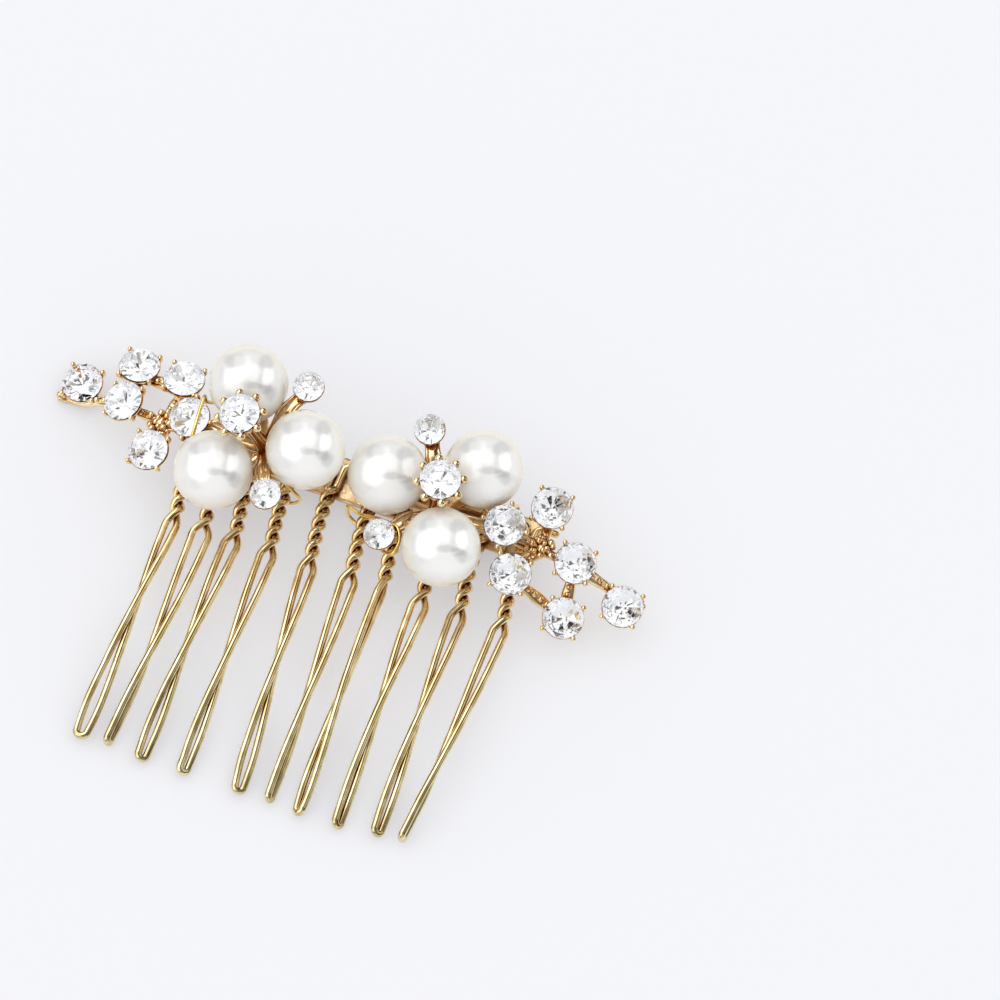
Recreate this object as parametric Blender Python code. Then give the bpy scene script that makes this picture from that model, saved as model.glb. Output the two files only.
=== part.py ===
"""Decorative hair comb: a twisted wire comb, its base strip, and two cast sprays of pearls and stones.

Frame: X runs along the row of teeth, -Y points down the teeth, and +Z is the ornament's face. The origin is
the middle of the base strip's back face. The pieces are laid out about the middle of the row on the centre
plane of the comb's wire, and an empty carries them all to the origin. Everything is in metres.
"""

import math
from collections import namedtuple

import bmesh
import bpy
from mathutils import Matrix, Vector

MM = 0.001

# Comb wire, bent into ten hairpin teeth whose necks are twisted.
WIRE_DIAMETER = 0.95 * MM
WIRE_SIDES = 5
STRAND_SPACING = 1.06 * MM
BAR_Y = 1.9 * MM
BAR_CORNER = 0.9 * MM
BAR_STUB = 1.6 * MM
TWIST_TOP_Y = -1.5 * MM
TWIST_END_Y = -11.6 * MM
HALF_TURNS = 5.5
NECK_LEAN = 0.9 * MM
NECK_BOW = 0.45 * MM
ARCH_SLOPE = 0.12
ARCH_RADIUS = 90 * MM
EYE_DROP = 2.2 * MM
EYE_EASE = 0.35
CLEAR_SPACING = 1.3 * MM
TIP_LENGTH = 4 * MM
TIP_NARROWING = 0.25
TIP_REACH = 0.62 * MM
TWIST_STEPS = 22
TOOTH_STEPS = 20
TIP_STEPS = 5

# Each hand-bent tooth: where its neck ends and where its tip is along the row, where its straight
# strands end, its sideways bow, how far apart its strands are in its upper and lower eyes, where they
# cross (all in mm), and whether the first strand crosses behind the second (-1) or in front of it (1).
Tooth = namedtuple("Tooth", "neck_x tip_x end_y bow upper_eye lower_eye crossing_y hand")
TEETH = (
    Tooth(-21.4, -22.15, -42.8, 0.1, 1.4, 1.8, -25.2, -1),
    Tooth(-17.5, -18.60, -42.5, 0.5, 2.1, 0.5, -32.8, -1),
    Tooth(-13.4, -14.00, -43.1, 0.0, 1.7, 1.4, -29.8, -1),
    Tooth(-8.7, -8.50, -43.1, 0.1, 1.7, 1.2, -29.7, -1),
    Tooth(-3.4, -1.20, -43.1, 0.0, 1.6, 1.5, -27.8, -1),
    Tooth(2.0, 2.85, -42.9, 0.3, 1.7, 0.55, -32.1, -1),
    Tooth(6.3, 6.85, -43.3, -0.05, 0.55, 1.1, -26.9, 1),
    Tooth(11.5, 11.95, -43.3, -0.05, 1.75, 0.9, -28.7, -1),
    Tooth(16.5, 16.95, -42.7, 0.0, 1.6, 1.1, -28.8, -1),
    Tooth(22.1, 20.20, -42.3, 0.5, 1.6, 0.2, -35.4, -1),
)

# Base strip behind the wire.
STRIP_LENGTH = 44 * MM
STRIP_WIDTH = 5.8 * MM
STRIP_THICKNESS = 0.55 * MM
STRIP_Y = 0.5 * MM
STRIP_FRONT_Z = -1.1 * MM
STRIP_CORNER = 0.8 * MM

# Pearls on their pegs.
PEARL_DIAMETER = 10 * MM
PEARL_RING = 6.93 * MM
PEARL_ANGLES = (90, -30, -150)
PEG_RADIUS = 0.5 * MM
PEG_HOLE_RADIUS = 0.62 * MM
PEG_LENGTH = 3 * MM
PEG_HOLE_DEPTH = 3.4 * MM
SEAT_RADIUS = 1.7 * MM
SEAT_THICKNESS = 0.9 * MM
SEAT_GAP = 0.15 * MM
PEARL_SIDES = 18
PEARL_RINGS = 9

# Stones and their settings.
LARGE_STONE_RADIUS = 2.6 * MM
SMALL_STONE_RADIUS = 1.95 * MM
STONE_SIDES = 12
PAVILION_SHARE = 0.67
CROWN_SHARE = 0.27
TABLE_SHARE = 0.6
GIRDLE = 0.12 * MM
SETTING_GAP = 0.1 * MM
SETTING_WALL = 0.24 * MM
SETTING_FLOOR = 0.6 * MM
RIM_DROP = 0.15 * MM
PRONG_BEAD_RADIUS = 0.42 * MM
PRONG_RADIUS = 0.26 * MM
PRONG_REACH = 0.5 * MM
PRONGS = 4
PRONG_TURN = 45
NEAR_PRONG_TURN = 0
CROWN_BEADS = 8

# Cast arms: flat ribbons from a hub out to the seats and the settings.
HUB_HEIGHT = -5.6 * MM
RIBBON_HALF_WIDTH = 0.75 * MM
RIBBON_HALF_HEIGHT = 0.42 * MM
STEM_HALF_WIDTH = 0.6 * MM
POST_RADIUS = 0.85 * MM
ARM_SIDES = 6
CLUSTER_BEAD_RADIUS = 0.75 * MM

# Places in a casting's own frame: angle (degrees), then radius and height (mm), from the middle of its
# three pearls.
CENTRE_STONE = (0, 0.7, 6.2)
SMALL_STONES = {"low": (-88, 8.9, 0.1), "side": (153, 8.7, 1.4)}
SPRAY_STONES = {
    "near": (32, 9.2, -0.2),
    "upper": (53, 14.3, -1.4),
    "middle": (31, 19.0, -2.0),
    "outer": (14.5, 21.0, -5.6),
    "inner": (9.5, 13.3, -1.9),
    "tip": (27.5, 26.3, -5.0),
}
SPRAY_JOINT = (34, 14.0, -4.3)

# The two castings: centre (mm), tilt about the row's X and Y, spin about Z, and how each stone leans
# from upright (degrees) and toward which side of the comb.
LEFT = {
    "side": "left",
    "centre": (-14.2, -2.0, 9.1),
    "turn": (9.7, -11.1, 148.3),
    "leans": {
        "centre": (14, -139), "low": (8, -90), "side": (10, -100), "near": (14, -140), "upper": (16, -140),
        "middle": (24, -160), "outer": (12, 110), "inner": (10, 110), "tip": (10, -150),
    },
}
RIGHT = {
    "side": "right",
    "centre": (9.7, -1.5, 7.2),
    "turn": (0, 0, -36.5),
    "leans": {
        "centre": (6, -70), "low": (14, -100), "side": (14, -90), "near": (16, -70), "upper": (20, -70),
        "middle": (20, -60), "outer": (22, -65), "inner": (22, -70), "tip": (20, -60),
    },
}

# Tie wires, which bind the castings to the strip and to the comb's necks: closed loops through (x, y, z) mm.
TIE_RADIUS = 0.2 * MM
TIE_SIDES = 5
TIE_STEPS = 2
TIES = {
    "tie_wire_left_outer": (
        (-22.1, 0.7, 8.8), (-21.7, -4.1, 8.5), (-21.9, -4.4, 6.2), (-20.8, -3.6, 1.8), (-20.6, -2.7, -0.2),
        (-20.6, -1.6, -0.75), (-20.6, 2.2, -0.75), (-20.6, 3.4, 0.0), (-21.0, 3.4, 2.4), (-22.0, 1.3, 6.6),
    ),
    "tie_wire_left_inner": (
        (-10.9, -5.5, 7.0), (-9.6, -5.1, 5.0), (-7.9, -4.7, 1.4), (-7.6, -4.5, -0.4), (-8.9, -4.6, -1.8),
        (-10.8, -4.9, -1.1), (-11.3, -5.2, 1.6), (-12.7, -5.6, 4.6), (-12.5, -5.7, 6.6),
    ),
    "tie_wire_right_inner": (
        (-1.5, -3.8, 0.3), (-1.2, -3.9, 1.3), (0.6, -4.6, 1.7), (2.8, -5.3, 3.6), (4.4, -6.2, 5.6),
        (6.3, -6.9, 6.6), (7.2, -8.6, 6.5), (6.8, -10.2, 5.8), (4.8, -9.0, 3.4), (2.6, -6.6, 0.0),
        (0.5, -4.8, -1.7), (-1.2, -4.0, -1.2),
    ),
    "tie_wire_right_outer": (
        (18.6, -2.7, 3.3), (18.6, -3.0, 1.5), (18.6, -2.7, -0.2), (18.6, -1.6, -0.75), (18.6, 2.2, -0.75),
        (18.6, 3.3, 0.0), (18.6, 3.1, 2.0), (18.6, 1.2, 3.4),
    ),
}

COLOURS = {
    "wire": ((0.83, 0.66, 0.36, 1), 0.22, 1.0),
    "casting": ((0.86, 0.66, 0.38, 1), 0.25, 1.0),
    "strip": ((0.82, 0.64, 0.40, 1), 0.45, 1.0),
    "tie": ((0.90, 0.70, 0.22, 1), 0.2, 1.0),
    "pearl": ((0.93, 0.90, 0.84, 1), 0.22, 0.0),
    "stone": ((0.92, 0.93, 0.95, 1), 0.05, 0.0),
}


def clear_scene():
    for obj in list(bpy.data.objects):
        bpy.data.objects.remove(obj, do_unlink=True)


def material(name):
    """The Principled BSDF material of this name, made once."""
    if name in bpy.data.materials:
        return bpy.data.materials[name]
    colour, roughness, metallic = COLOURS[name]
    made = bpy.data.materials.new(name)
    made.use_nodes = True
    shader = made.node_tree.nodes["Principled BSDF"]
    shader.inputs["Base Color"].default_value = colour
    shader.inputs["Roughness"].default_value = roughness
    shader.inputs["Metallic"].default_value = metallic
    return made


def add_object(name, bm, material_name, smooth_angle=math.radians(40)):
    """A new object in the scene from this bmesh, with its faces turned outwards."""
    bmesh.ops.recalc_face_normals(bm, faces=bm.faces)
    mesh = bpy.data.meshes.new(name)
    bm.to_mesh(mesh)
    bm.free()
    mesh.shade_smooth()
    mesh.set_sharp_from_angle(angle=smooth_angle)
    mesh.materials.append(material(material_name))
    obj = bpy.data.objects.new(name, mesh)
    bpy.context.collection.objects.link(obj)
    return obj


def polar(angle, radius, height):
    """A point from an angle in degrees and a radius and height in millimetres."""
    turn = math.radians(angle)
    return Vector((radius * math.cos(turn), radius * math.sin(turn), height)) * MM


def smoothstep(low, high, value):
    share = min(max((value - low) / (high - low), 0), 1)
    return share * share * (3 - 2 * share)


def bridge_rings(bm, first, second):
    """Faces between two rings, where a ring of one vertex is a point on the axis."""
    count = max(len(first), len(second))
    for i in range(count):
        j = (i + 1) % count
        if len(first) == 1:
            bm.faces.new((first[0], second[i], second[j]))
        elif len(second) == 1:
            bm.faces.new((first[i], first[j], second[0]))
        else:
            bm.faces.new((first[i], first[j], second[j], second[i]))


def lathe(profile, sides, placement=Matrix.Identity(4)):
    """A turned solid: profile is (radius, height) points from the axis round to the axis again."""
    bm = bmesh.new()
    rings = []
    for radius, height in profile:
        if radius == 0:
            rings.append([bm.verts.new(placement @ Vector((0, 0, height)))])
            continue
        turns = [2 * math.pi * i / sides for i in range(sides)]
        points = [Vector((radius * math.cos(t), radius * math.sin(t), height)) for t in turns]
        rings.append([bm.verts.new(placement @ point) for point in points])
    for first, second in zip(rings, rings[1:]):
        bridge_rings(bm, first, second)
    return bm


def sweep(points, half_width, half_height, sides, up=Vector((0, 0, 1)), closed=False):
    """A wire or ribbon along points. The section's width axis is carried along without twisting."""
    bm = bmesh.new()
    count = len(points)
    rings = []
    for k, point in enumerate(points):
        before = points[k - 1] if k or closed else point
        after = points[(k + 1) % count] if k + 1 < count or closed else point
        tangent = (after - before).normalized()
        side = tangent.cross(up).normalized()
        up = side.cross(tangent).normalized()
        ring = []
        for i in range(sides):
            turn = 2 * math.pi * (i + 0.5) / sides
            offset = side * (half_width * math.cos(turn)) + up * (half_height * math.sin(turn))
            ring.append(bm.verts.new(point + offset))
        rings.append(ring)
    for first, second in zip(rings, rings[1:]):
        bridge_rings(bm, first, second)
    if closed:
        bridge_rings(bm, rings[-1], rings[0])
    else:
        bm.faces.new(rings[0])
        bm.faces.new(rings[-1])
    return bm


def bead(centre, radius):
    bm = bmesh.new()
    bmesh.ops.create_icosphere(bm, subdivisions=1, radius=radius, matrix=Matrix.Translation(centre))
    return bm


def curve_through(corners, steps):
    """Points on a smooth curve through the corners, with steps points to each stretch."""
    padded = [2 * corners[0] - corners[1], *corners, 2 * corners[-1] - corners[-2]]
    points = []
    for a, b, c, d in zip(padded, padded[1:], padded[2:], padded[3:]):
        for i in range(steps):
            t = i / steps
            straight = b * (2 - 5 * t**2 + 3 * t**3) + a * (-t + 2 * t**2 - t**3)
            points.append((straight + c * (t + 4 * t**2 - 3 * t**3) + d * (t**3 - t**2)) / 2)
    return points + [corners[-1]]


# ---- comb wire ----


def arch_height(y):
    """Height of a tooth's axis: the neck lies flat, and the tooth below it is gently arched."""
    run = max(0, TWIST_END_Y - y)
    return ARCH_SLOPE * run - run * run / (2 * ARCH_RADIUS)


def tooth_axis(tooth, y):
    """The point of a tooth's axis at this y."""
    if y > TWIST_END_Y:
        share = (y - TWIST_END_Y) / (BAR_Y - TWIST_END_Y)
        bow = 4 * share * (1 - share) * NECK_BOW
        return Vector((tooth.neck_x * MM - NECK_LEAN * share - bow, y, 0))
    share = (TWIST_END_Y - y) / (TWIST_END_Y - tooth.end_y * MM)
    bow = 4 * share * (1 - share) * tooth.bow
    x = tooth.neck_x + (tooth.tip_x - tooth.neck_x) * share + bow
    return Vector((x * MM, y, arch_height(y)))


def opening(share):
    """How far an eye is open: 0 where the strands cross and 1 where the eye is widest."""
    return share * (1 + EYE_EASE * (1 - share * share))


def distance_across(tooth, y):
    """How far the first strand is to the right of the second at this y, below the neck."""
    eye_y = TWIST_END_Y - EYE_DROP
    crossing_y = tooth.crossing_y * MM
    wide_y = tooth.end_y * MM + TIP_LENGTH
    if y > crossing_y:
        share = min(1, (y - crossing_y) / (eye_y - crossing_y))
        return -tooth.upper_eye * MM * opening(share)
    share = min(1, (crossing_y - y) / (crossing_y - wide_y))
    narrowing = max(0, (wide_y - y) / TIP_LENGTH)
    return tooth.lower_eye * MM * opening(share) * (1 - TIP_NARROWING * narrowing * narrowing)


def strand_offset(tooth, y):
    """The way from the second strand to the first: twisted in the neck, then side by side or crossing."""
    if y >= TWIST_END_Y:
        share = (TWIST_TOP_Y - y) / (TWIST_TOP_Y - TWIST_END_Y)
        turn = math.pi * (1 + HALF_TURNS * max(share, 0))
        return Vector((math.cos(turn), 0, math.sin(turn))) * STRAND_SPACING
    across = distance_across(tooth, y)
    front = tooth.hand * STRAND_SPACING * max(0, 1 - (across / CLEAR_SPACING) ** 2)
    turn = math.pi / 2 * smoothstep(TWIST_END_Y, TWIST_END_Y - EYE_DROP, y)
    return Vector((across * math.sin(turn), 0, STRAND_SPACING * math.cos(turn) + front * math.sin(turn)))


def strand_point(tooth, y, first):
    return tooth_axis(tooth, y) + strand_offset(tooth, y) * (0.5 if first else -0.5)


def strand_stations(tooth):
    """The y values at which a strand is sampled, from the bar down to the tip."""
    stations = [BAR_Y - BAR_CORNER]
    for i in range(TWIST_STEPS + 1):
        stations.append(TWIST_TOP_Y + (TWIST_END_Y - TWIST_TOP_Y) * i / TWIST_STEPS)
    for i in range(1, TOOTH_STEPS + 1):
        stations.append(TWIST_END_Y + (tooth.end_y * MM - TWIST_END_Y) * i / TOOTH_STEPS)
    return stations


def tooth_points(tooth):
    """One hairpin: down the first strand, round the tip and up the second strand."""
    stations = strand_stations(tooth)
    down = [strand_point(tooth, y, True) for y in stations]
    up = [strand_point(tooth, y, False) for y in reversed(stations)]
    middle = (down[-1] + up[0]) / 2
    across = down[-1] - middle
    end_y = tooth.end_y * MM
    along = (tooth_axis(tooth, end_y) - tooth_axis(tooth, end_y + MM)).normalized()
    tip = []
    for i in range(1, TIP_STEPS + 1):
        turn = math.pi * i / (TIP_STEPS + 1)
        tip.append(middle + across * math.cos(turn) + along * (TIP_REACH * math.sin(turn)))
    return down + tip + up


def bar_corner(x, toward):
    """The bend from the bar into a strand at x, listed from the bar; toward is -1 or 1 along the bar."""
    bend = BAR_CORNER * math.sin(math.radians(45))
    drop = BAR_CORNER - bend
    return [
        Vector((x + toward * BAR_CORNER, BAR_Y, 0)),
        Vector((x + toward * drop, BAR_Y - drop, 0)),
    ]


def make_comb_wire():
    points = []
    for index, tooth in enumerate(TEETH):
        hairpin = tooth_points(tooth)
        if index == 0:
            points.append(Vector((hairpin[0].x - BAR_CORNER - BAR_STUB, BAR_Y, 0)))
        points += bar_corner(hairpin[0].x, -1) + hairpin + bar_corner(hairpin[-1].x, 1)[::-1]
    points.append(Vector((points[-1].x + BAR_STUB, BAR_Y, 0)))
    radius = WIRE_DIAMETER / 2
    return add_object("comb_wire", sweep(points, radius, radius, WIRE_SIDES), "wire")


# ---- base strip ----


def make_base_strip():
    bm = bmesh.new()
    bmesh.ops.create_cube(bm, size=1)
    bmesh.ops.scale(bm, vec=(STRIP_LENGTH, STRIP_WIDTH, STRIP_THICKNESS), verts=bm.verts)
    upright = [edge for edge in bm.edges if edge.calc_length() < 1.5 * STRIP_THICKNESS]
    bmesh.ops.bevel(bm, geom=upright, offset=STRIP_CORNER, segments=3, affect="EDGES")
    place = Vector((0, STRIP_Y, STRIP_FRONT_Z - STRIP_THICKNESS / 2))
    bmesh.ops.translate(bm, vec=place, verts=bm.verts)
    return add_object("base_strip", bm, "strip")


# ---- pearls ----


def pearl_profile():
    """Half of a pearl's outline, from the blind peg hole's end, out of the hole, and over to the top."""
    radius = PEARL_DIAMETER / 2
    mouth = math.asin(PEG_HOLE_RADIUS / radius)
    mouth_height = -radius * math.cos(mouth)
    floor = PEG_HOLE_DEPTH - radius
    profile = [(0, floor), (PEG_HOLE_RADIUS, floor), (PEG_HOLE_RADIUS, mouth_height)]
    for i in range(1, PEARL_RINGS):
        turn = mouth + (math.pi - mouth) * i / PEARL_RINGS
        profile.append((radius * math.sin(turn), -radius * math.cos(turn)))
    return profile + [(0, radius)]


# ---- stones and settings ----


def stone_profile(radius):
    crown = radius * CROWN_SHARE
    return [
        (0, -radius * PAVILION_SHARE),
        (radius, 0),
        (radius, GIRDLE),
        (radius * TABLE_SHARE, GIRDLE + crown),
        (0, GIRDLE + crown),
    ]


def setting_profile(radius):
    """A tapered cup whose hollow follows the stone's point."""
    depth = radius * PAVILION_SHARE
    hollow_rim = radius * (1 - RIM_DROP / depth) + SETTING_GAP
    hollow_depth = depth * (1 + SETTING_GAP / radius)
    bottom = -hollow_depth - SETTING_FLOOR
    return [
        (0, bottom),
        (radius * 0.5, bottom),
        (hollow_rim + SETTING_WALL, -RIM_DROP),
        (hollow_rim, -RIM_DROP),
        (0, -hollow_depth),
    ]


def setting_bottom(radius):
    return setting_profile(radius)[0][1]


def prong(place, radius, angle):
    """A claw from the cup's side to a ball beside the stone's edge."""
    turn = math.radians(angle)
    outward = Vector((math.cos(turn), math.sin(turn), 0))
    foot = place @ (outward * (radius * 0.72) + Vector((0, 0, -radius * 0.5)))
    head = place @ (outward * (radius + PRONG_REACH) + Vector((0, 0, 0.1 * MM)))
    side = place.to_3x3() @ outward
    claw = sweep([foot, head], PRONG_RADIUS, PRONG_RADIUS, 4, up=side)
    return [claw, bead(head, PRONG_BEAD_RADIUS)]


def beaded_crown(place, radius):
    """The ring of balls round the raised centre setting."""
    balls = []
    for i in range(CROWN_BEADS):
        turn = 2 * math.pi * (i + 0.5) / CROWN_BEADS
        reach = radius + 0.28 * MM
        centre = Vector((reach * math.cos(turn), reach * math.sin(turn), -0.42 * MM))
        balls.append(bead(place @ centre, PRONG_BEAD_RADIUS * 1.06))
    return balls


def leaning(place, lean):
    """A frame at this point whose Z leans by lean[0] degrees toward lean[1] degrees about the comb's Z."""
    toward = math.radians(lean[1])
    axis = Vector((-math.sin(toward), math.cos(toward), 0))
    return Matrix.Translation(place) @ Matrix.Rotation(math.radians(lean[0]), 4, axis)


# ---- castings ----


def casting_frame(casting):
    tilt_x, tilt_y, spin = (math.radians(angle) for angle in casting["turn"])
    turn = Matrix.Rotation(tilt_x, 4, "X") @ Matrix.Rotation(tilt_y, 4, "Y") @ Matrix.Rotation(spin, 4, "Z")
    return Matrix.Translation(Vector(casting["centre"]) * MM) @ turn


def stone_places(casting):
    """Every stone's name, radius and frame."""
    frame = casting_frame(casting)
    places = {"centre": (LARGE_STONE_RADIUS, CENTRE_STONE)}
    for name, spot in SMALL_STONES.items():
        places[name] = (SMALL_STONE_RADIUS, spot)
    for name, spot in SPRAY_STONES.items():
        places[name] = (LARGE_STONE_RADIUS, spot)
    return {
        name: (radius, leaning(frame @ polar(*spot), casting["leans"][name]))
        for name, (radius, spot) in places.items()
    }


def ribbon(start, end, up, rise, half_width):
    """A flat arm that leaves its start level and curves up by rise before it reaches its end."""
    middle = (start + end) / 2 - up * rise
    points = curve_through([start, middle, end], 3)
    return sweep(points, half_width, RIBBON_HALF_HEIGHT, ARM_SIDES, up=up)


def casting_arms(frame, feet):
    """The hub's ribbons to the small settings and along the spray, and the post under the centre stone."""
    up = (frame.to_3x3() @ Vector((0, 0, 1))).normalized()
    hub = frame @ Vector((0, 0, HUB_HEIGHT))
    joint = frame @ polar(*SPRAY_JOINT)
    across = (frame.to_3x3() @ Vector((1, 0, 0))).normalized()
    arms = [sweep([hub, feet["centre"]], POST_RADIUS, POST_RADIUS, ARM_SIDES, up=across)]
    for name in SMALL_STONES:
        arms.append(ribbon(hub, feet[name], up, 1.2 * MM, RIBBON_HALF_WIDTH))
    arms.append(ribbon(hub, joint, up, 0.3 * MM, RIBBON_HALF_WIDTH))
    for name in ("near", "upper", "middle", "inner"):
        arms.append(ribbon(joint, feet[name], up, 0.2 * MM, STEM_HALF_WIDTH))
    for start, end in (("middle", "tip"), ("middle", "outer"), ("inner", "outer")):
        arms.append(ribbon(feet[start], feet[end], up, 0.1 * MM, STEM_HALF_WIDTH))
    arms.append(bead(joint, CLUSTER_BEAD_RADIUS))
    return arms


def pearl_seats(frame):
    """A disc and a peg under each pearl, and a ribbon to it from the hub."""
    seats = []
    top = -PEARL_DIAMETER / 2 - SEAT_GAP
    profile = [
        (0, top - SEAT_THICKNESS),
        (SEAT_RADIUS, top - SEAT_THICKNESS),
        (SEAT_RADIUS, top),
        (PEG_RADIUS, top),
        (PEG_RADIUS, top + PEG_LENGTH),
        (0, top + PEG_LENGTH),
    ]
    up = (frame.to_3x3() @ Vector((0, 0, 1))).normalized()
    level = Vector((0, 0, HUB_HEIGHT))
    for angle in PEARL_ANGLES:
        spot = polar(angle, PEARL_RING / MM, 0)
        seats.append(lathe(profile, 12, frame @ Matrix.Translation(spot)))
        ends = [frame @ level, frame @ (spot + level)]
        seats.append(sweep(ends, STEM_HALF_WIDTH, RIBBON_HALF_HEIGHT, ARM_SIDES, up=up))
    return seats


def casting_pieces(casting, stones):
    frame = casting_frame(casting)
    feet = {}
    pieces = []
    for name, (radius, place) in stones.items():
        feet[name] = place @ Vector((0, 0, setting_bottom(radius) + 0.2 * MM))
        pieces.append(lathe(setting_profile(radius), STONE_SIDES, place))
        if name in SPRAY_STONES:
            first = NEAR_PRONG_TURN if name == "near" else PRONG_TURN
            for i in range(PRONGS):
                pieces += prong(place, radius, first + 360 * i / PRONGS)
    centre_radius, centre_place = stones["centre"]
    pieces += beaded_crown(centre_place, centre_radius)
    return casting_arms(frame, feet) + pieces + pearl_seats(frame)


def union(name, pieces, material_name):
    """One solid from overlapping pieces, with a Boolean union whose operands stay out of the build."""
    helpers = bpy.data.collections.new(name + "_pieces")
    bpy.context.scene.collection.children.link(helpers)
    hub = add_object(name, pieces[0], material_name)
    for index, piece in enumerate(pieces[1:]):
        helper = add_object(f"{name}_piece_{index}", piece, material_name)
        bpy.context.collection.objects.unlink(helper)
        helpers.objects.link(helper)
        helper.hide_render = True
        helper.display_type = "WIRE"
    helpers.hide_render = True
    joined = hub.modifiers.new("join", "BOOLEAN")
    joined.operation = "UNION"
    joined.operand_type = "COLLECTION"
    joined.collection = helpers
    joined.solver = "EXACT"
    joined.use_self = True
    return hub


def make_ornament(casting, pearl_mesh, stone_meshes):
    """One casting with its pearls and stones."""
    side = casting["side"]
    frame = casting_frame(casting)
    stones = stone_places(casting)
    union(f"casting_{side}", casting_pieces(casting, stones), "casting")
    for index, angle in enumerate(PEARL_ANGLES, start=1):
        pearl = bpy.data.objects.new(f"pearl_{side}_{index}", pearl_mesh)
        pearl.matrix_world = frame @ Matrix.Translation(polar(angle, PEARL_RING / MM, 0))
        bpy.context.collection.objects.link(pearl)
    for name, (radius, place) in stones.items():
        stone = bpy.data.objects.new(f"stone_{side}_{name}", stone_meshes[radius])
        stone.matrix_world = place
        bpy.context.collection.objects.link(stone)


def shared_mesh(name, profile, sides, material_name, smooth_angle):
    """A turned mesh that several objects share."""
    source = add_object(name, lathe(profile, sides), material_name, smooth_angle)
    mesh = source.data
    bpy.data.objects.remove(source)
    return mesh


# ---- tie wires ----


def closed_curve(corners, steps):
    """Points on a smooth closed curve through the corners, with steps points to each stretch."""
    count = len(corners)
    lap = curve_through([corners[i % count] for i in range(-1, count + 2)], steps)
    return lap[steps:steps * (count + 1)]


def make_tie_wires():
    for name, corners in TIES.items():
        points = closed_curve([Vector(corner) * MM for corner in corners], TIE_STEPS)
        loop = sweep(points, TIE_RADIUS, TIE_RADIUS, TIE_SIDES, up=Vector((1, 1, 0)), closed=True)
        add_object(name, loop, "tie")


def carry_to_origin():
    """Parents every piece to one empty that puts the middle of the strip's back face at the origin."""
    carrier = bpy.data.objects.new("comb_frame", None)
    carrier.location = (0, -STRIP_Y, STRIP_THICKNESS - STRIP_FRONT_Z)
    for obj in bpy.data.objects:
        if obj != carrier:
            obj.parent = carrier
    bpy.context.collection.objects.link(carrier)


def main():
    clear_scene()
    make_comb_wire()
    make_base_strip()
    pearl_mesh = shared_mesh("pearl", pearl_profile(), PEARL_SIDES, "pearl", math.radians(60))
    stone_meshes = {
        radius: shared_mesh("stone", stone_profile(radius), STONE_SIDES, "stone", math.radians(10))
        for radius in (LARGE_STONE_RADIUS, SMALL_STONE_RADIUS)
    }
    for casting in (LEFT, RIGHT):
        make_ornament(casting, pearl_mesh, stone_meshes)
    make_tie_wires()
    carry_to_origin()


main()
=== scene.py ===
import math
import random

import bmesh
import bpy
import numpy as np
from mathutils import Matrix, Vector


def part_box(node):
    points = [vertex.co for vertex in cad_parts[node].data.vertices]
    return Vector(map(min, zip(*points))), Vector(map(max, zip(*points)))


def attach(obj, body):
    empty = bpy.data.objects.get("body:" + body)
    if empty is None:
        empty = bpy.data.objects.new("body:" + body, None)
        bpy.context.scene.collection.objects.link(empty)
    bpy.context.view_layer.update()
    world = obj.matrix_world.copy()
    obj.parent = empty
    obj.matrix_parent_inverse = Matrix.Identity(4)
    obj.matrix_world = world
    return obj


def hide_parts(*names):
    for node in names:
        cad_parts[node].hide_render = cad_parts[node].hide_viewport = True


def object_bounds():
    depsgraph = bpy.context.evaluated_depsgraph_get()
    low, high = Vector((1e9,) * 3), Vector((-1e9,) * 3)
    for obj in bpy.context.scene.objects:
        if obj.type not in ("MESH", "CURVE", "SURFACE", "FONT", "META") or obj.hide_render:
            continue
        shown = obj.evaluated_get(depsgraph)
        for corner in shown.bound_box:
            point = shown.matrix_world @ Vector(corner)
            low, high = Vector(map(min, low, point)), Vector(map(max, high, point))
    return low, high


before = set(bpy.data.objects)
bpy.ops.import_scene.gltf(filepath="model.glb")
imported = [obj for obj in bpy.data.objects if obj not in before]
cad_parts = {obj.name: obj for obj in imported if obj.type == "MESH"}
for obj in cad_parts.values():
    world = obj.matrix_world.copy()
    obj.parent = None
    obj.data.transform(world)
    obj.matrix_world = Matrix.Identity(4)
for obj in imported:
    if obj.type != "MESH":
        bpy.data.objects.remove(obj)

MM = 0.001
CAD_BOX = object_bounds()
SIDES = ("left", "right")
SMALL = ("low", "side")
SPRAY = ("near", "upper", "middle", "outer", "inner", "tip")

# Shapes the CAD part shares with this script, in metres.
WIRE_RADIUS = 0.475 * MM
TIE_RADIUS = 0.2 * MM
TIE_SIDES = 5
PEARL_RADIUS = 5 * MM
# The crown and the pavilion are fractions of a stone's radius.
STONE_CROWN = 0.27
STONE_PAVILION = 0.67
GIRDLE = 0.12 * MM
HUB_DROP = 5.6 * MM
# The joint where a spray's arms meet, seen from the middle of the three pearls.
JOINT_REACH = 14
JOINT_ANGLE = math.radians(34)
JOINT_HEIGHT = -4.3

# Shapes only this script has: the tie wires are drawn a little thicker than in the CAD.
TIE_SWELL = 1.15
STRIP_CORNER = 0.8 * MM
STRIP_EDGE = 0.25 * MM
STRIP_EDGE_DIP = 0.12 * MM
STRIP_DENT = 0.025 * MM
PEG_HOLE_RADIUS = 0.62 * MM
PEG_HOLE_TOP = -0.4 * PEARL_RADIUS
CLAW_REACH = 0.24 * MM
CLAW_TIP_REACH = 0.27 * MM
CLAW_BALL = 0.34 * MM
BEAD_REACH = 0.30 * MM
BEAD_DROP = 0.45 * MM
BEAD_RADIUS = 0.56 * MM
GRAIN_REACH = 1.9 * MM
GRAIN_COUNT = 20
GRAIN_RADIUS = 0.48 * MM
GRAIN_SEED = 7
SPIN_SEEDS = {"left": 31, "right": 57}
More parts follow.
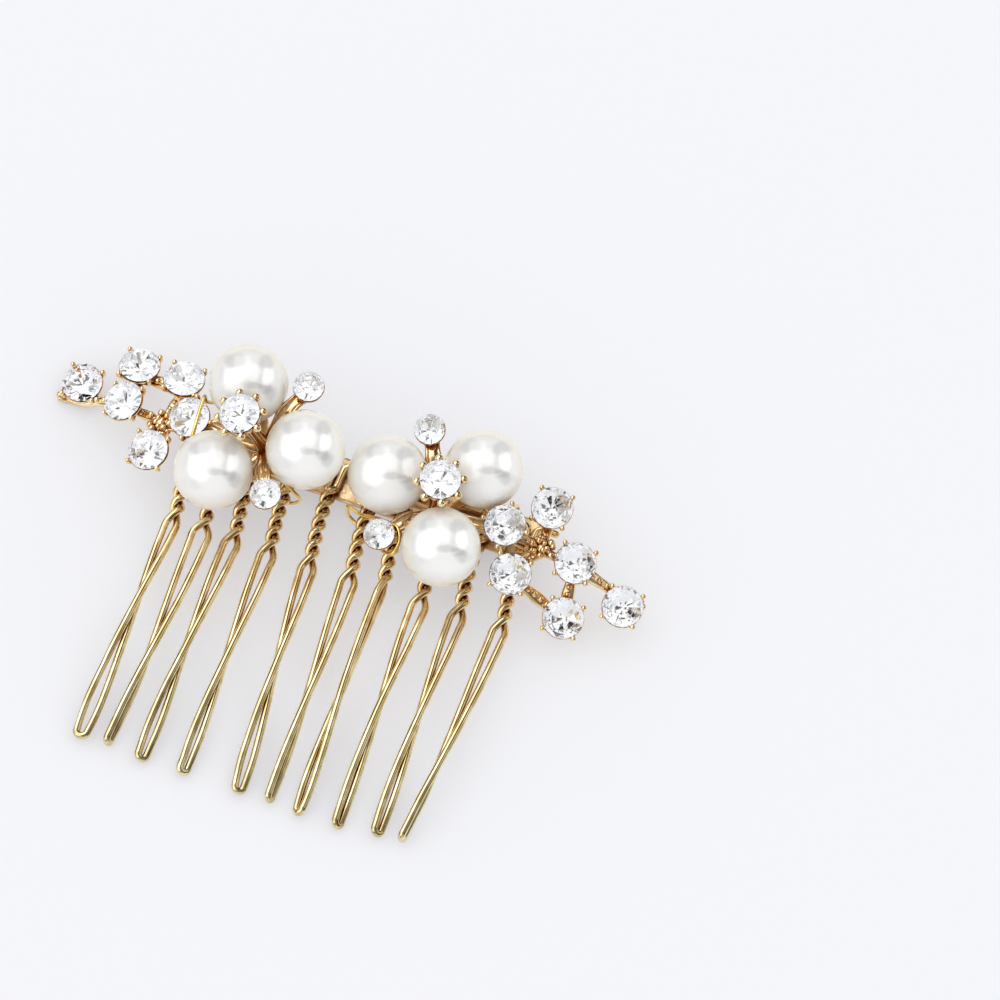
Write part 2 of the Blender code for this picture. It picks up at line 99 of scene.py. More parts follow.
# A bar runs from inside each spray, beside its tip stone and a little beyond it. Near the floor
# it is raised to stay clear, and moved aside by as much to stay out of the stone.
TIP_ARM_SHIFT = Vector((-0.45, 1.25, 0)) * MM
TIP_ARM_REACH = 2.0 * MM
TIP_ARM_LIFT = 0.7 * MM
TIP_ARM_START = 1.8 * MM
TIP_ARM_END = 0.5 * MM
TIP_ARM_CLEAR = 0.85 * MM

# How far down the teeth their plate starts and ends its change of tone, a painted reflection: the
# redder tone above stands for light from the gold around it.
TIP_TONE_FROM = 14 * MM
TIP_TONE_TO = 40 * MM

# The camera looks along the comb's own X and Y from this direction.
VIEW_RIGHT = Vector((0.940, 0.342, 0.0))
VIEW_UP = Vector((-0.3085, 0.8475, 0.432))
VIEW_BACK = Vector((0.1477, -0.406, 0.902))
CAMERA_AIM = Vector((0, -0.5, 1.65)) * MM + VIEW_RIGHT * 16.4 * MM - VIEW_UP * 1.575 * MM
CAMERA_DISTANCE = 1.5
FRAME_WIDTH = 125 * MM
SENSOR = 36.0


# ---- reading the CAD nodes ----


def welded(node):
    """A CAD node's distinct points and, for each, its neighbours along triangle edges."""
    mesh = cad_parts[node].data
    points = np.array([vertex.co for vertex in mesh.vertices])
    points, index = np.unique(np.round(points, 7), axis=0, return_inverse=True)
    index = index.reshape(-1)
    neighbours = [set() for _ in points]
    for polygon in mesh.polygons:
        corners = [index[i] for i in polygon.vertices]
        for a, b in zip(corners, corners[1:] + corners[:1]):
            if a != b:
                neighbours[a].add(b)
                neighbours[b].add(a)
    return points, neighbours


def open_wire_rings(node):
    """The centres of the rings of an open wire's mesh, from its lowest-X end."""
    points, neighbours = welded(node)
    low = points[:, 0].min()
    ring = set(np.where(points[:, 0] < low + 1e-6)[0])
    seen = set(ring)
    centres = []
    while ring:
        centres.append(Vector(points[sorted(ring)].mean(axis=0)))
        ring = set().union(*[neighbours[i] for i in ring]) - seen
        seen |= ring
    return centres


def closed_wire_rings(node):
    """The centres of the rings of a closed wire's mesh, in order round the loop."""
    points, neighbours = welded(node)
    side = 2 * TIE_RADIUS * math.sin(math.pi / TIE_SIDES)
    short = 1.3 * side
    ring_of = {}
    rings = []
    for start in range(len(points)):
        if start in ring_of:
            continue
        stack, members = [start], set()
        while stack:
            a = stack.pop()
            if a in members:
                continue
            members.add(a)
            ring_of[a] = len(rings)
            stack += [b for b in neighbours[a] if np.linalg.norm(points[a] - points[b]) < short]
        rings.append(members)
    links = []
    for i, ring in enumerate(rings):
        links.append(set(ring_of[b] for a in ring for b in neighbours[a]) - {i})
    order = [0, min(links[0])]
    while True:
        onward = [i for i in links[order[-1]] if i not in order]
        if not onward:
            break
        order.append(onward[0])
    return [Vector(points[sorted(rings[i])].mean(axis=0)) for i in order]


def pearl_centre(node):
    """The centre of the sphere through a pearl's outside."""
    points, _ = welded(node)
    centre = (points.min(axis=0) + points.max(axis=0)) / 2
    for _ in range(8):
        reach = np.linalg.norm(points - centre, axis=1)
        outside = points[np.abs(reach - PEARL_RADIUS) < 0.08 * PEARL_RADIUS]
        matrix = np.hstack([2 * outside, np.ones((len(outside), 1))])
        centre = np.linalg.lstsq(matrix, (outside**2).sum(axis=1), rcond=None)[0][:3]
    return Vector(centre)


def stone_place(node):
    """A stone's frame (origin on its girdle, Z out of its table) and its radius."""
    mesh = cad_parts[node].data
    groups = {}
    for polygon in mesh.polygons:
        key = tuple(round(value, 2) for value in polygon.normal)
        area, centre, normal = groups.get(key, (0, Vector((0, 0, 0)), Vector((0, 0, 0))))
        groups[key] = (
            area + polygon.area,
            centre + polygon.center * polygon.area,
            normal + polygon.normal * polygon.area,
        )
    area, centre, normal = max(groups.values(), key=lambda group: group[0])
    centre /= area
    normal.normalize()
    spokes = [vertex.co - centre for vertex in mesh.vertices]
    radius = max((spoke - normal * spoke.dot(normal)).length for spoke in spokes)
    origin = centre - normal * (radius * STONE_CROWN + GIRDLE)
    side = Vector((1, 0, 0)) - normal * normal.x
    side.normalize()
    turn = Matrix((side, normal.cross(side), normal)).transposed().to_4x4()
    return Matrix.Translation(origin) @ turn, radius


# ---- mesh making ----


class Mesher:
    """Gathers closed shapes into one mesh."""

    def __init__(self):
        self.points = []
        self.faces = []
        self.slots = []

    def add(self, points, faces, slot=0):
        base = len(self.points)
        self.points += [tuple(point) for point in points]
        self.faces += [tuple(base + i for i in face) for face in faces]
        self.slots += [slot] * len(faces)

    def lathe(self, profile, sides, place=Matrix.Identity(4), slot=0):
        """A turned shape: (radius, height) pairs from the axis round to the axis."""
        points, rings, faces = [], [], []
        for radius, height in profile:
            count = 1 if radius == 0 else sides
            rings.append(list(range(len(points), len(points) + count)))
            for i in range(count):
                turn = 2 * math.pi * i / sides
                x, y = radius * math.cos(turn), radius * math.sin(turn)
                points.append(place @ Vector((x, y, height)))
        for a, b in zip(rings, rings[1:]):
            faces += ring_faces(a, b)
        self.add(points, faces, slot)

    def ball(self, centre, radius, sides=16):
        steps = sides // 2
        arc = [math.pi * i / steps for i in range(1, steps)]
        profile = [(radius * math.sin(t), -radius * math.cos(t)) for t in arc]
        self.lathe([(0, -radius), *profile, (0, radius)], sides, Matrix.Translation(centre))

    def tube(self, path, widths, heights, sides, up=Vector((0, 0, 1)), closed=False, power=1.0):
        """A wire or ribbon along a path; power below 1 squares its section's corners."""
        count = len(path)
        points, rings, faces = [], [], []
        for k, point in enumerate(path):
            before = path[k - 1] if k or closed else point
            after = path[(k + 1) % count] if k + 1 < count or closed else point
            tangent = (after - before).normalized()
            side = tangent.cross(up).normalized()
            up = side.cross(tangent).normalized()
            rings.append(list(range(len(points), len(points) + sides)))
            for i in range(sides):
                turn = 2 * math.pi * (i + 0.5) / sides
                x, y = math.cos(turn), math.sin(turn)
                x = math.copysign(abs(x) ** power, x)
                y = math.copysign(abs(y) ** power, y)
                points.append(point + side * (widths[k] * x) + up * (heights[k] * y))
        for a, b in zip(rings, rings[1:]):
            faces += ring_faces(a, b)
        if closed:
            shift = nearest_turn(points, rings[-1], rings[0])
            faces += ring_faces(rings[-1], rings[0][shift:] + rings[0][:shift])
        else:
            faces += [tuple(rings[0][::-1]), tuple(rings[-1])]
        self.add(points, faces)

    def mesh(self, name, materials, sharp=40):
        mesh = bpy.data.meshes.new(name)
        mesh.from_pydata(self.points, [], self.faces)
        for made in materials:
            mesh.materials.append(made)
        mesh.polygons.foreach_set("material_index", self.slots)
        mesh.update()
        mesh.shade_smooth()
        mesh.set_sharp_from_angle(angle=math.radians(sharp))
        return mesh


def ring_faces(a, b):
    """The faces between two rings of points, either of which may be a single point."""
    count = max(len(a), len(b))
    faces = []
    for i in range(count):
        j = (i + 1) % count
        if len(a) == 1:
            faces.append((a[0], b[j], b[i]))
        elif len(b) == 1:
            faces.append((a[i], a[j], b[0]))
        else:
            faces.append((a[i], a[j], b[j], b[i]))
    return faces


def nearest_turn(points, last, first):
    """How far to turn the first ring of a closed tube so that it meets the last without a twist."""
    start = points[last[0]]
    return min(range(len(first)), key=lambda i: (points[first[i]] - start).length)


def outward(mesh):
    """Turns every closed shell of a mesh to face outwards."""
    bm = bmesh.new()
    bm.from_mesh(mesh)
    bmesh.ops.recalc_face_normals(bm, faces=bm.faces)
    bm.to_mesh(mesh)
    bm.free()


def piece(name, mesh, slot, *nodes, place=Matrix.Identity(4)):
    """A new object that rides on the comb and stands for these CAD nodes."""
    obj = bpy.data.objects.new(name, mesh)
    bpy.context.scene.collection.objects.link(obj)
    obj.matrix_world = place
    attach(obj, "root")
    if nodes:
        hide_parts(*nodes)
    return obj


def smooth_path(corners, steps, closed=False):
    """Points on a smooth curve through the corners."""
    if closed:
        padded = [corners[-1], *corners, corners[0], corners[1]]
    else:
        padded = [2 * corners[0] - corners[1], *corners, 2 * corners[-1] - corners[-2]]
    points = []
    for a, b, c, d in zip(padded, padded[1:], padded[2:], padded[3:]):
        for i in range(steps):
            t = i / steps
            t2, t3 = t * t, t * t * t
            point = b * (2 - 5 * t2 + 3 * t3) + a * (-t + 2 * t2 - t3)
            point = point + c * (t + 4 * t2 - 3 * t3) + d * (t3 - t2)
            points.append(point / 2)
    return points if closed else points + [corners[-1]]


# ---- node trees ----


class Value:
    """A socket in a node tree, combined with other values by + - * and the functions below."""

    def __init__(self, tree, socket):
        self.tree = tree
        self.socket = socket

    def _math(self, operation, *others):
        node = self.tree.nodes.new("ShaderNodeMath")
        node.operation = operation
        self.tree.links.new(self.socket, node.inputs[0])
        for i, other in enumerate(others, start=1):
            set_input(self.tree, node.inputs[i], other)
        return Value(self.tree, node.outputs[0])

    def __add__(self, other):
        return self._math("ADD", other)

    def __sub__(self, other):
        return self._math("SUBTRACT", other)

    def __mul__(self, other):
        return self._math("MULTIPLY", other)

    def power(self, other):
        return self._math("POWER", other)

    def ramp(self, low, high, to_low=0.0, to_high=1.0):
        """A smooth step from low to high."""
        node = self.tree.nodes.new("ShaderNodeMapRange")
        node.interpolation_type = "SMOOTHSTEP"
        self.tree.links.new(self.socket, node.inputs["Value"])
        limits = {"From Min": low, "From Max": high, "To Min": to_low, "To Max": to_high}
        for name, value in limits.items():
            node.inputs[name].default_value = value
        return Value(self.tree, node.outputs["Result"])

    def mix(self, first, second):
        """The colour first where this is 0 and second where it is 1."""
        node = self.tree.nodes.new("ShaderNodeMix")
        node.data_type = "RGBA"
        self.tree.links.new(self.socket, node.inputs[0])
        set_input(self.tree, node.inputs[6], first)
        set_input(self.tree, node.inputs[7], second)
        return Value(self.tree, node.outputs[2])


def set_input(tree, socket, value):
    if isinstance(value, Value):
        tree.links.new(value.socket, socket)
    elif isinstance(value, tuple) and len(value) == 3 and socket.type == "RGBA":
        socket.default_value = (*value, 1)
    else:
        socket.default_value = value


def vector_math(tree, operation, a, b=None):
    node = tree.nodes.new("ShaderNodeVectorMath")
    node.operation = operation
    set_input(tree, node.inputs[0], a)
    if b is not None:
        set_input(tree, node.inputs[1], b)
    return Value(tree, node.outputs["Value" if operation == "DOT_PRODUCT" else "Vector"])


def half_place(tree, toward):
    """Where a direction lands on a mirror ball seen by the camera: (across, upward), -1 to 1."""
    half = vector_math(tree, "NORMALIZE", vector_math(tree, "ADD", toward, tuple(VIEW_BACK)))
    across = vector_math(tree, "DOT_PRODUCT", half, tuple(VIEW_RIGHT))
    upward = vector_math(tree, "DOT_PRODUCT", half, tuple(VIEW_UP))
    return across, upward


def window(place, left, right, low, high, soft=0.05):
    """1 inside a soft-edged window in those coordinates and 0 outside it."""
    across, upward = place
    sides = across.ramp(left - soft, left + soft) * across.ramp(right - soft, right + soft, 1, 0)
    return sides * upward.ramp(low - soft, low + soft) * upward.ramp(high - soft, high + soft, 1, 0)


def blob(place, x, y, half_width, half_height, soft=0.6):
    """1 in the middle of a soft ellipse in those coordinates and 0 outside it."""
    across, upward = place
    x_reach = (across - x) * (1 / half_width)
    y_reach = (upward - y) * (1 / half_height)
    return (x_reach * x_reach + y_reach * y_reach).ramp((1 - soft) ** 2, (1 + soft) ** 2, 1, 0)


def object_noise(tree, scale, detail=3.0, distortion=0.0):
    """Noise over the piece's own position; scale is in cycles per metre."""
    where = tree.nodes.new("ShaderNodeTexCoord")
    noise = tree.nodes.new("ShaderNodeTexNoise")
    noise.inputs["Scale"].default_value = scale
    noise.inputs["Detail"].default_value = detail
    noise.inputs["Distortion"].default_value = distortion
    tree.links.new(where.outputs["Object"], noise.inputs["Vector"])
    return Value(tree, noise.outputs["Fac"])


def new_material(name):
    made = bpy.data.materials.new(name)
    made.use_nodes = True
    shader = made.node_tree.nodes["Principled BSDF"]
    return made, made.node_tree, shader


def bump(tree, shader, height, distance, strength=1.0):
    node = tree.nodes.new("ShaderNodeBump")
    node.inputs["Distance"].default_value = distance
    node.inputs["Strength"].default_value = strength
    set_input(tree, node.inputs["Height"], height)
    tree.links.new(node.outputs["Normal"], shader.inputs["Normal"])


def crevice(tree, distance):
    """1 in the open and 0 deep in a crevice of this width; gold uses it to paint shade into its
    crevices.
    """
    node = tree.nodes.new("ShaderNodeAmbientOcclusion")
    node.samples = 6
    node.inputs["Distance"].default_value = distance
    return Value(tree, node.outputs["AO"])


def gold(name, tones, painted_shade_colour, painted_shade_width, roughness, grain, grain_depth, tip_tones=None):
    """Gold plate: two close tones, with painted shade darkening its crevices, and a fine uneven
    surface.

    The optional pair of tip tones is what the plate turns to toward the tips of the teeth; the
    warmer tone above them is painted reflection of the gold around the teeth.
    """
    made, tree, shader = new_material(name)
    tone = object_noise(tree, 420, 4.0, 0.6).ramp(0.35, 0.68)
    plate = tone.mix(*tones)
    if tip_tones:
        # Painted reflection: up the teeth the plate keeps a redder tone for light thrown back by
        # the gold around them.
        where = tree.nodes.new("ShaderNodeTexCoord")
        down = vector_math(tree, "DOT_PRODUCT", Value(tree, where.outputs["Object"]), (0, -1, 0))
        plate = down.ramp(TIP_TONE_FROM, TIP_TONE_TO).mix(plate, tone.mix(*tip_tones))
    # Painted shade: deep in a crevice the plate turns to a dark brown shade colour.
    unshaded = crevice(tree, painted_shade_width).ramp(0.25, 0.85)
    set_input(tree, shader.inputs["Base Color"], unshaded.mix(painted_shade_colour, plate))
    shader.inputs["Metallic"].default_value = 1.0
    patches = object_noise(tree, 900, 3.0).ramp(0.3, 0.7, roughness * 0.75, roughness * 1.3)
    set_input(tree, shader.inputs["Roughness"], patches)
    bump(tree, shader, object_noise(tree, grain, 3.0), grain_depth)
    return made


def pearl_material():
    """Silvery lacquer over a bead, under a clear skin; its base colour holds a soft painted
    reflection of the tent, with painted highlights, painted shade, a painted warm rim and a faint
    painted glow.
    """
    made, tree, shader = new_material("pearl_painted_lustre")
    where = tree.nodes.new("ShaderNodeTexCoord")
    # The painted reflection is looked up by the reflection direction, wobbled a little by noise.
    ripple = tree.nodes.new("ShaderNodeTexNoise")
    ripple.inputs["Scale"].default_value = 380
    ripple.inputs["Detail"].default_value = 3.0
    tree.links.new(where.outputs["Object"], ripple.inputs["Vector"])
    wobble = vector_math(tree, "SUBTRACT", Value(tree, ripple.outputs["Color"]), (0.5, 0.5, 0.5))
    wobble = vector_math(tree, "SCALE", wobble)
    wobble.socket.node.inputs["Scale"].default_value = 0.5
    mirrored = vector_math(tree, "ADD", Value(tree, where.outputs["Reflection"]), wobble)
    place = half_place(tree, mirrored)
    across, upward = place
    # Painted highlights of the softboxes are added here and painted shade is taken away.
    painted_reflection = blob(place, -0.35, 0.06, 0.26, 0.30, 0.45) * 0.17
    painted_reflection = painted_reflection + blob(place, 0.08, 0.30, 0.20, 0.20, 0.45) * 0.14
    painted_reflection = painted_reflection + blob(place, 0.53, 0.18, 0.14, 0.18, 0.45) * 0.19
    painted_reflection = painted_reflection + blob(place, 0.10, -0.34, 0.34, 0.22, 0.8) * 0.03
    painted_reflection = painted_reflection - blob(place, 0.12, -0.04, 0.24, 0.06, 0.8) * 0.18
    painted_reflection = painted_reflection - blob(place, 0.42, -0.12, 0.13, 0.09, 0.8) * 0.14
    painted_reflection = painted_reflection - blob(place, 0.54, -0.22, 0.13, 0.13, 0.8) * 0.20
    painted_reflection = painted_reflection - blob(place, -0.36, 0.58, 0.22, 0.13, 0.8) * 0.17
    painted_reflection = painted_reflection - blob(place, 0.46, 0.53, 0.17, 0.12, 0.8) * 0.15
    painted_reflection = painted_reflection - blob(place, 0.32, 0.28, 0.07, 0.28, 0.8) * 0.06
    painted_reflection = painted_reflection - blob(place, -0.56, -0.34, 0.14, 0.11, 0.8) * 0.06
    painted_reflection = painted_reflection - blob(place, -0.72, 0.20, 0.08, 0.40, 0.8) * 0.05
    reach = (across * across + upward * upward).power(0.5)
    # Painted shade: the level drops a little toward the rim.
    painted_level = painted_reflection + reach.ramp(0.74, 0.97, 0.80, 0.76)
    bands = object_noise(tree, 130, 2.0, 1.4).ramp(0.3, 0.7)
    body = bands.mix((1.0, 0.995, 0.985), (0.985, 0.99, 0.985))
    # Painted reflection: the rim turns warm yellow for the gold around the pearl.
    rim = reach.ramp(0.72, 0.98).mix(body, (1.0, 0.95, 0.82))
    set_input(tree, shader.inputs["Base Color"], vector_math(tree, "MULTIPLY", rim, painted_level))
    # A faint painted glow in the pearl's colour lifts it out of its shade.
    set_input(tree, shader.inputs["Emission Color"], rim)
    shader.inputs["Emission Strength"].default_value = 0.07
    shader.inputs["Roughness"].default_value = 0.4
    shader.inputs["Specular IOR Level"].default_value = 0.3
    shader.inputs["Coat Weight"].default_value = 1.0
    shader.inputs["Coat IOR"].default_value = 1.6
    coat = object_noise(tree, 300, 3.0).ramp(0.3, 0.7, 0.09, 0.15)
    set_input(tree, shader.inputs["Coat Roughness"], coat)
    bump(tree, shader, object_noise(tree, 700, 2.0), 0.006 * MM)
    return made


def crown_material():
    """Clear cut glass."""
    made, tree, shader = new_material("stone_glass")
    tint = object_noise(tree, 90, 1.0).ramp(0.2, 0.8)
    set_input(tree, shader.inputs["Base Color"], tint.mix((0.99, 0.995, 1.0), (1.0, 1.0, 0.985)))
    shader.inputs["Transmission Weight"].default_value = 1.0
    shader.inputs["IOR"].default_value = 1.42
    set_input(tree, shader.inputs["Roughness"], tint.ramp(0, 1, 0.0, 0.02))
    return made


def foil_material():
    """The silvered back of a stone, seen through its glass."""
    made, tree, shader = new_material("stone_foil")
    tint = object_noise(tree, 500, 2.0).ramp(0.3, 0.7)
    set_input(tree, shader.inputs["Base Color"], tint.mix((0.97, 0.97, 0.98), (0.90, 0.91, 0.93)))
    shader.inputs["Metallic"].default_value = 1.0
    set_input(tree, shader.inputs["Roughness"], tint.ramp(0, 1, 0.03, 0.08))
    return made


def floor_material():
    """Pale paper that glows a little, as a white background lit from behind does."""
    made, tree, shader = new_material("floor_paper")
    fibres = object_noise(tree, 900, 5.0).mix((0.475, 0.48, 0.495), (0.485, 0.49, 0.505))
    set_input(tree, shader.inputs["Base Color"], fibres)
    shader.inputs["Emission Color"].default_value = (0.93, 0.94, 1.0, 1)
    shader.inputs["Emission Strength"].default_value = 0.43
    shader.inputs["Roughness"].default_value = 0.9
    shader.inputs["Specular IOR Level"].default_value = 0.15
    return made


# The crevice colour of each gold is painted shade, a dark brown where the gold is hemmed in.
GOLD_WIRE = gold(
    "gold_wire",
    tones=((0.97, 0.78, 0.45), (0.76, 0.54, 0.26)),
    painted_shade_colour=(0.36, 0.14, 0.04),
    painted_shade_width=3 * MM,
    roughness=0.09,
    grain=1600,
    grain_depth=0.004 * MM,
    # Tip tones: the redder plate above them is painted reflection of the gold around the teeth.
    tip_tones=((0.88, 0.77, 0.46), (0.62, 0.51, 0.25)),
)
GOLD_CAST = gold(
    "gold_cast",
    tones=((1.0, 0.84, 0.54), (0.95, 0.67, 0.32)),
    painted_shade_colour=(0.44, 0.17, 0.035),
    painted_shade_width=2.5 * MM,
    roughness=0.11,
    grain=2600,
    grain_depth=0.010 * MM,
)
GOLD_STRIP = gold(
    "gold_strip",
    tones=((0.95, 0.74, 0.46), (0.80, 0.54, 0.27)),
    painted_shade_colour=(0.45, 0.22, 0.08),
    painted_shade_width=4 * MM,
    roughness=0.34,
    grain=1500,
    grain_depth=0.05 * MM,
)
GOLD_TIE = gold(
    "gold_tie",
    tones=((1.0, 0.78, 0.28), (0.94, 0.66, 0.20)),
    painted_shade_colour=(0.50, 0.28, 0.05),
    painted_shade_width=2 * MM,
    roughness=0.16,
    grain=2200,
    grain_depth=0.003 * MM,
)
PEARL = pearl_material()
CROWN = crown_material()
FOIL = foil_material()


# ---- wires ----


def make_wire(node, slot, rings, radius, material, steps, sides, closed):
    """A smooth round wire through the rings of a CAD wire."""
    path = smooth_path(rings, steps, closed)
    mesher = Mesher()
    mesher.tube(path, [radius] * len(path), [radius] * len(path), sides, closed=closed)
    if not closed:
        for end in (path[0], path[-1]):
            mesher.ball(end, radius * 0.98, sides)
    mesh = mesher.mesh(node + "_round", [material], sharp=60)
    outward(mesh)
    piece(node + "_round", mesh, slot, node)


comb_rings = open_wire_rings("comb_wire")
make_wire("comb_wire", "comb_wire", comb_rings, WIRE_RADIUS, GOLD_WIRE, 4, 20, closed=False)
for side in SIDES:
    for spot in ("outer", "inner"):
        tie = f"tie_wire_{side}_{spot}"
        tie_radius = TIE_RADIUS * TIE_SWELL
        make_wire(tie, "tie_wire", closed_wire_rings(tie), tie_radius, GOLD_TIE, 5, 14, closed=True)


# ---- strip ----


def strip_dent(x, y):
    """How far the strip's hammered face stands out at this place."""
    x, y = x / MM, y / MM
    return STRIP_DENT * math.sin(x * 2.1 + 3 * math.sin(y * 1.7)) * math.sin(y * 2.6 + x)


def make_strip():
    """The base strip, its edges rounded and its face slightly uneven."""
    low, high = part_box("base_strip")
    middle = (low + high) / 2
    half = (high - low) / 2
    columns, rows = 220, 32
    points, faces = [], []
    for top in (True, False):
        for j in range(rows + 1):
            for i in range(columns + 1):
                u, v = 2 * i / columns - 1, 2 * j / rows - 1
                x, y = half.x * u, half.y * v
                over_x = max(abs(x) - (half.x - STRIP_CORNER), 0)
                over_y = max(abs(y) - (half.y - STRIP_CORNER), 0)
                if over_x > 0 and over_y > 0:
                    reach = math.hypot(over_x, over_y)
                    widest = max(over_x, over_y)
                    x = math.copysign(half.x - STRIP_CORNER + over_x * widest / reach, x)
                    y = math.copysign(half.y - STRIP_CORNER + over_y * widest / reach, y)
                edge = min(half.x - abs(x), half.y - abs(y))
                dip = STRIP_EDGE_DIP * max(0, 1 - edge / STRIP_EDGE) ** 2
                z = half.z - dip + strip_dent(x, y) if top else -half.z + dip
                points.append(middle + Vector((x, y, z)))
    stride = columns + 1
    layer = stride * (rows + 1)
    for j in range(rows):
        for i in range(columns):
            a = j * stride + i
            faces.append((a, a + 1, a + 1 + stride, a + stride))
            faces.append((layer + a, layer + a + stride, layer + a + 1 + stride, layer + a + 1))
    border = list(range(stride))
    border += [j * stride + columns for j in range(1, rows + 1)]
    border += [rows * stride + i for i in range(columns - 1, -1, -1)]
    border += [j * stride for j in range(rows - 1, 0, -1)]
    for a, b in zip(border, border[1:] + border[:1]):
        faces.append((a, layer + a, layer + b, b))
    mesher = Mesher()
    mesher.add(points, faces)
    mesh = mesher.mesh("strip", [GOLD_STRIP], sharp=50)
    outward(mesh)
    piece("base_strip_plate", mesh, "base_strip", "base_strip")


make_strip()


# ---- pearls ----


def make_pearl(node, centre, up):
    """A pearl with the mouth of its peg hole underneath."""
    sides, steps = 96, 56
    start = math.asin(PEG_HOLE_RADIUS / PEARL_RADIUS)
    profile = [(0, PEG_HOLE_TOP), (PEG_HOLE_RADIUS, PEG_HOLE_TOP)]
    for i in range(steps):
        turn = start + (math.pi - start) * i / steps
        profile.append((PEARL_RADIUS * math.sin(turn), -PEARL_RADIUS * math.cos(turn)))
    profile.append((0, PEARL_RADIUS))
    mesher = Mesher()
    mesher.lathe(profile, sides)
    mesh = mesher.mesh(node, [PEARL])
    outward(mesh)
    place = Matrix.Translation(centre) @ up.to_track_quat("Z", "Y").to_matrix().to_4x4()
    piece(node + "_ball", mesh, "pearl", node, place=place)


# ---- stones ----


def brilliant(radius):
    """A round brilliant: an eight-sided table, stars, kites, girdle facets and a pointed back."""
    # How far out the corners of the table, the stars and the back's middle facets lie.
    table, star, back = 0.60, 0.82, 0.12
    step = math.pi / 4
    crown = radius * STONE_CROWN
    depth = radius * STONE_PAVILION

    def at(reach, turns, height):
        angle = turns * step
        out = reach * radius
        return Vector((out * math.cos(angle), out * math.sin(angle), height))

    cosine = math.cos(step / 2)
    star_height = GIRDLE + crown * (1 - star * cosine) / (1 - table)
    back_height = -depth * (1 - back * cosine)
    tables = [at(table, k, GIRDLE + crown) for k in range(8)]
    stars = [at(star, k + 0.5, star_height) for k in range(8)]
    upper = [at(1, k / 2, GIRDLE) for k in range(16)]
    lower = [at(1, k / 2, 0) for k in range(16)]
    backs = [at(back, k + 0.5, back_height) for k in range(8)]
    points = tables + stars + upper + lower + backs + [Vector((0, 0, -depth))]
    # Where each of those groups starts in points.
    t, s, g, f, b, culet = 0, 8, 16, 32, 48, 56
    glass = [tuple(range(8))]
    foil = []
    for k in range(8):
        n = (k + 1) % 8
        glass.append((t + k, s + k, t + n))
        glass.append((t + k, s + (k - 1) % 8, g + 2 * k, s + k))
        foil.append((culet, b + k, f + 2 * k, b + (k - 1) % 8))
        for i in range(2):
            first, second = 2 * k + i, (2 * k + i + 1) % 16
            glass.append((s + k, g + first, g + second))
            foil.append((b + k, f + second, f + first))
    for i in range(16):
        n = (i + 1) % 16
        glass.append((g + i, f + i, f + n, g + n))
    mesher = Mesher()
    mesher.add(points, glass, 0)
    mesher.faces += foil
    mesher.slots += [1] * len(foil)
    mesh = mesher.mesh("brilliant", [CROWN, FOIL], sharp=1)
    for polygon in mesh.polygons:
        polygon.use_smooth = False
    outward(mesh)
    return mesh


# ---- castings ----


def cup(mesher, place, radius):
    """A tapered setting whose rim ends just under the stone's edge."""
    depth = radius * STONE_PAVILION
    bottom = -depth - 0.75 * MM
    profile = [
        (0, bottom),
        (radius * 0.42, bottom),
        (radius * 0.52, bottom + 0.12 * MM),
        (radius * 0.62, bottom + 0.5 * MM),
        (radius * 0.88, -0.95 * MM),
        (radius + 0.02 * MM, -0.5 * MM),
        (radius + 0.06 * MM, -0.36 * MM),
        (radius + 0.02 * MM, -0.22 * MM),
        (radius - 0.16 * MM, -0.26 * MM),
        (radius - 0.2 * MM, -0.4 * MM),
        (0, -depth - 0.1 * MM),
    ]
    mesher.lathe(profile, 48, place)


def claw(mesher, place, radius, angle):
    """A claw that rises from the cup and ends in a ball beside the stone."""
    turn = math.radians(angle)
    out = Vector((math.cos(turn), math.sin(turn), 0))
    path = [
        place @ (out * radius * 0.55 + Vector((0, 0, -radius * 0.72))),
        place @ (out * radius * 0.86 + Vector((0, 0, -radius * 0.42))),
        place @ (out * (radius + CLAW_REACH) + Vector((0, 0, -radius * 0.2))),
        place @ (out * (radius + CLAW_TIP_REACH) + Vector((0, 0, 0.02 * MM))),
    ]
    path = smooth_path(path, 4)
    side = place.to_3x3() @ out
    count = len(path)
    widths = [0.36 * MM - 0.08 * MM * i / count for i in range(count)]
    mesher.tube(path, widths, widths, 10, up=side)
    mesher.ball(path[-1], CLAW_BALL, 18)


def ring_of_beads(mesher, place, reach, height, radius, sides, offset=0.0):
    """Eight beads in a ring round a stone, the first at this angle in degrees."""
    for k in range(8):
        angle = math.radians(45 * k + offset)
        spot = Vector((reach * math.cos(angle), reach * math.sin(angle), height))
        mesher.ball(place @ spot, radius, sides)


def ribbon(mesher, corners, up, half_width, half_height, beads=None, rails=None):
    """A flat arm along the corners.

    beads is the radius and spacing of grains of metal down its middle, and rails is the radius of
    a round rail along each edge.
    """
    path = smooth_path(corners, 7)
    count = len(path)
    widths = [half_width * (1 + 0.12 * math.sin(5 * i / count * math.pi)) for i in range(count)]
    mesher.tube(path, widths, [half_height] * count, 14, up=up, power=0.7)
    if beads:
        radius, spacing = beads
        length = sum((b - a).length for a, b in zip(path, path[1:]))
        for k in range(1, int(length / spacing)):
            where = k * spacing / length * (count - 1)
            i = min(int(where), count - 2)
            point = path[i].lerp(path[i + 1], where - i)
            mesher.ball(point + up * half_height, radius, 12)
    if rails:
        along = (path[-1] - path[0]).normalized()
        side = along.cross(up).normalized()
        for hand in (-1, 1):
            edge = [p + side * (hand * w) + up * half_height * 0.6 for p, w in zip(path, widths)]
            mesher.tube(edge, [rails] * count, [rails] * count, 10, up=up)


